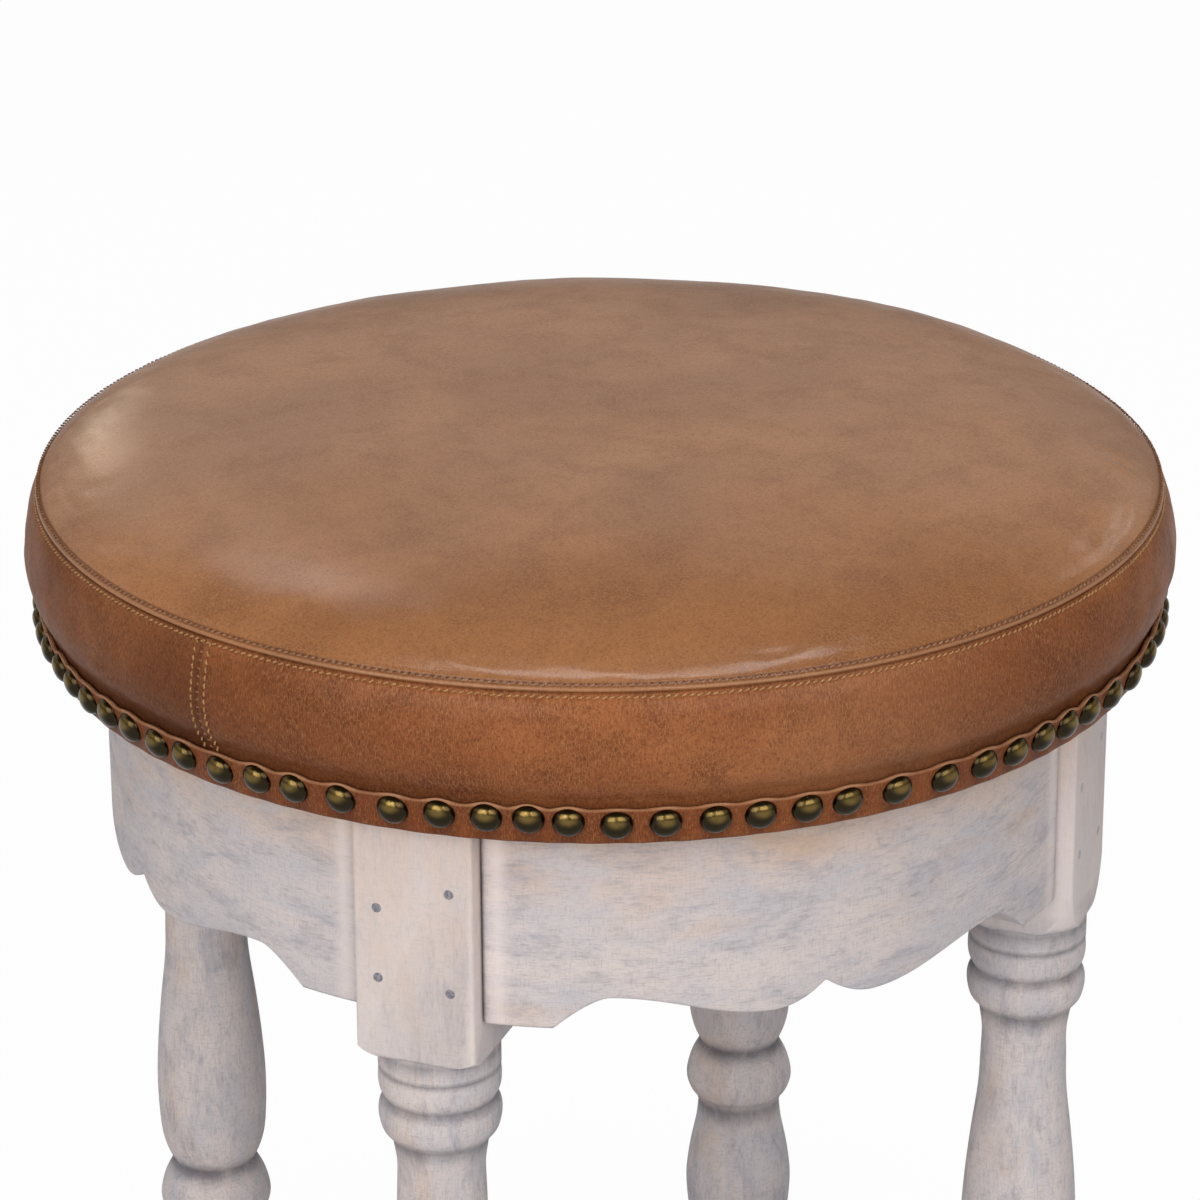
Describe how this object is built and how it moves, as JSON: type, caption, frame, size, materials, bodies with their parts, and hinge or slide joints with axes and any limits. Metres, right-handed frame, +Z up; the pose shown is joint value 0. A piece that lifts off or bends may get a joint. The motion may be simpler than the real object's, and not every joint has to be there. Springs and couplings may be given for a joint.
{
  "type": "upholstered vanity stool",
  "caption": "Round vanity stool with a domed leather box cushion, nailed trim, scalloped curved aprons and turned legs.",
  "frame": {"origin": "on the floor under the centre of the seat", "axes": "+Z up along the seat's axis; -Y faces the front apron; the four legs stand on the diagonals"},
  "size_m": [0.4508, 0.4508, 0.478],
  "materials": {
    "leather_top": "worn saddle-tan leather with a soft sheen",
    "leather_band": "darker red-brown leather, soft sheen",
    "leather_strip": "orange-brown leather strip, satin",
    "thread": "waxed sewing thread",
    "antique_brass": "dark antique brass, polished domes",
    "wadding": "soft white wadding",
    "foam": "open-cell foam",
    "plywood": "raw plywood",
    "fastener_steel": "zinc-plated",
    "dust_cloth": "black cloth",
    "whitewashed_wood": "whitewashed, grey-blue in the grain, matte",
    "plain_wood": "raw wood",
    "peg_wood": "grey-stained wood, matte",
    "glide_plastic": "matte"
  },
  "bodies": {
    "root": {"leather_top_panel": "leather_top", "leather_boxing_band": "leather_band", "topstitch_thread": "thread", "leather_trim_strip": "leather_strip", "trim_nails": "antique_brass", "wadding_wrap": "wadding", "foam_pad": "foam", "seat_board": "plywood", "leather_staples": "fastener_steel", "dust_cover": "dust_cloth", "dust_cover_staples": "fastener_steel", "leg_front_left": "whitewashed_wood", "leg_front_right": "whitewashed_wood", "leg_rear_right": "whitewashed_wood", "leg_rear_left": "whitewashed_wood", "apron_front": "whitewashed_wood", "apron_right": "whitewashed_wood", "apron_rear": "whitewashed_wood", "apron_left": "whitewashed_wood", "corner_block_front_left": "plain_wood", "corner_block_front_right": "plain_wood", "corner_block_rear_right": "plain_wood", "corner_block_rear_left": "plain_wood", "corner_block_screws": "fastener_steel", "seat_screws": "fastener_steel", "draw_bore_pegs": "peg_wood", "foot_glide_front_left": "glide_plastic", "foot_glide_front_right": "glide_plastic", "foot_glide_rear_right": "glide_plastic", "foot_glide_rear_left": "glide_plastic"}
  },
  "joints": []
}
